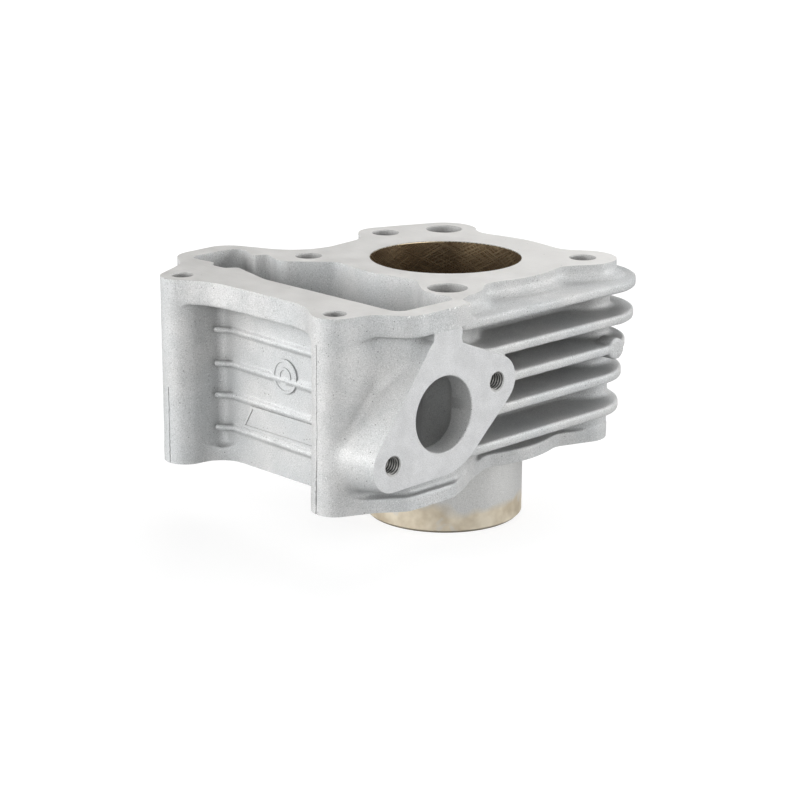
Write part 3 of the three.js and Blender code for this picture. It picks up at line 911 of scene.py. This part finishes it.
def light_table():
    """A glowing white table top, which throws little light back onto the object."""
    material = bpy.data.materials.new("light_table")
    material.use_nodes = True
    nodes, links = material.node_tree.nodes, material.node_tree.links
    shader = nodes["Principled BSDF"]
    shader.inputs["Roughness"].default_value = 0.9
    seen = nodes.new("ShaderNodeLightPath").outputs["Is Camera Ray"]
    for socket, hidden, shown in (("Base Color", 0.38, 0.22), ("Emission Strength", 0.0, 0.8)):
        level = nodes.new("ShaderNodeMapRange")
        level.inputs["To Min"].default_value = hidden
        level.inputs["To Max"].default_value = shown
        links.new(seen, level.inputs["Value"])
        links.new(level.outputs["Result"], shader.inputs[socket])
    shader.inputs["Emission Color"].default_value = (1, 1, 1, 1)
    return material


def soft_light(name, azimuth, elevation, power):
    """A large far softbox, which stands at that azimuth from +X and that elevation, in degrees."""
    a, e = math.radians(azimuth), math.radians(elevation)
    data = bpy.data.lights.new(name, "SUN")
    data.energy = power
    data.angle = math.radians(SOFTBOX_SPREAD)
    light = bpy.data.objects.new(name, data)
    towards = Vector((math.cos(e) * math.cos(a), math.cos(e) * math.sin(a), math.sin(e)))
    light.rotation_euler = towards.to_track_quat("Z", "Y").to_euler()
    bpy.context.scene.collection.objects.link(light)


def studio_world(strength):
    """White where it is seen, and dimmer as a light on the object."""
    world = bpy.data.worlds.new("studio")
    world.use_nodes = True
    nodes, links = world.node_tree.nodes, world.node_tree.links
    level = nodes.new("ShaderNodeMapRange")
    level.inputs["To Min"].default_value = strength
    level.inputs["To Max"].default_value = 1.0
    links.new(nodes.new("ShaderNodeLightPath").outputs["Is Camera Ray"], level.inputs["Value"])
    nodes["Background"].inputs["Color"].default_value = (1, 1, 1, 1)
    links.new(level.outputs["Result"], nodes["Background"].inputs["Strength"])
    bpy.context.scene.world = world


def studio_camera():
    """A long lens that looks down at the corner between the chain side and the tensioner side."""
    azimuth, elevation, roll = (math.radians(degrees) for degrees in CAMERA_ANGLES)
    forward = Vector((
        math.cos(elevation) * math.cos(azimuth),
        math.cos(elevation) * math.sin(azimuth),
        -math.sin(elevation),
    ))
    level = Vector((math.sin(azimuth), -math.cos(azimuth), 0))
    rise = level.cross(forward)
    right = math.cos(roll) * level + math.sin(roll) * rise
    up = math.cos(roll) * rise - math.sin(roll) * level
    camera = bpy.data.objects.new("camera", bpy.data.cameras.new("camera"))
    place = ORIGIN - MM * (CAMERA_DISTANCE * forward + CAMERA_LEFT * right - CAMERA_RISE * up)
    turn = Matrix((right, up, -forward)).transposed().to_4x4()
    camera.matrix_world = Matrix.Translation(place) @ turn
    camera.data.lens = CAMERA_LENS
    camera.data.sensor_width = 36.0
    camera.data.clip_start = 10 * MM
    bpy.context.scene.collection.objects.link(camera)
    bpy.context.scene.camera = camera


studio_floor()
studio_world(0.01)
soft_light("left_rear", 138, 14, 2.9)
soft_light("left", 184, 12, 2.35)
soft_light("front", 246, 10, 1.05)
soft_light("right", 313, 13, 2.75)
soft_light("rear", 27, 40, 1.15)
soft_light("top", 310, 68, 0.85)
studio_camera()
bpy.context.scene.view_settings.view_transform = "Standard"
